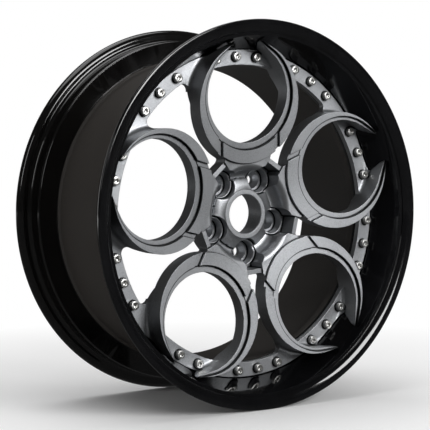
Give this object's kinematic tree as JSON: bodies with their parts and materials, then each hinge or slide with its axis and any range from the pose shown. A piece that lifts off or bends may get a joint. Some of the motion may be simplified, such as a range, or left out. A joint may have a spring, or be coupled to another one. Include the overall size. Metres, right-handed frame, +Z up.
{
  "type": "split rim wheel",
  "caption": "Split car wheel: gloss black outer lip and inner barrel bolted through a satin graphite centre of open crescents, with a deep stepped dish.",
  "frame": {"origin": "middle of the wheel: on the axle line, halfway between the two rim flanges", "axes": "+Y along the axle toward the car, so the face looks along -Y; +Z up; +X to the right as seen from the face"},
  "size_m": [0.5478, 0.2398, 0.5478],
  "materials": {
    "gloss_black": "gloss black powder coat with a clear top coat",
    "satin_graphite": "satin graphite metallic paint",
    "bright_steel": "bright zinc-plated steel",
    "dark_steel": "black oxide steel",
    "sealant": "matt black silicone"
  },
  "bodies": {
    "root": {"outer_lip": "gloss_black", "inner_barrel": "gloss_black", "centre_disc": "satin_graphite", "rim_bolts": "bright_steel", "bolt_washers": "dark_steel", "rim_sealant": "sealant"}
  },
  "joints": []
}
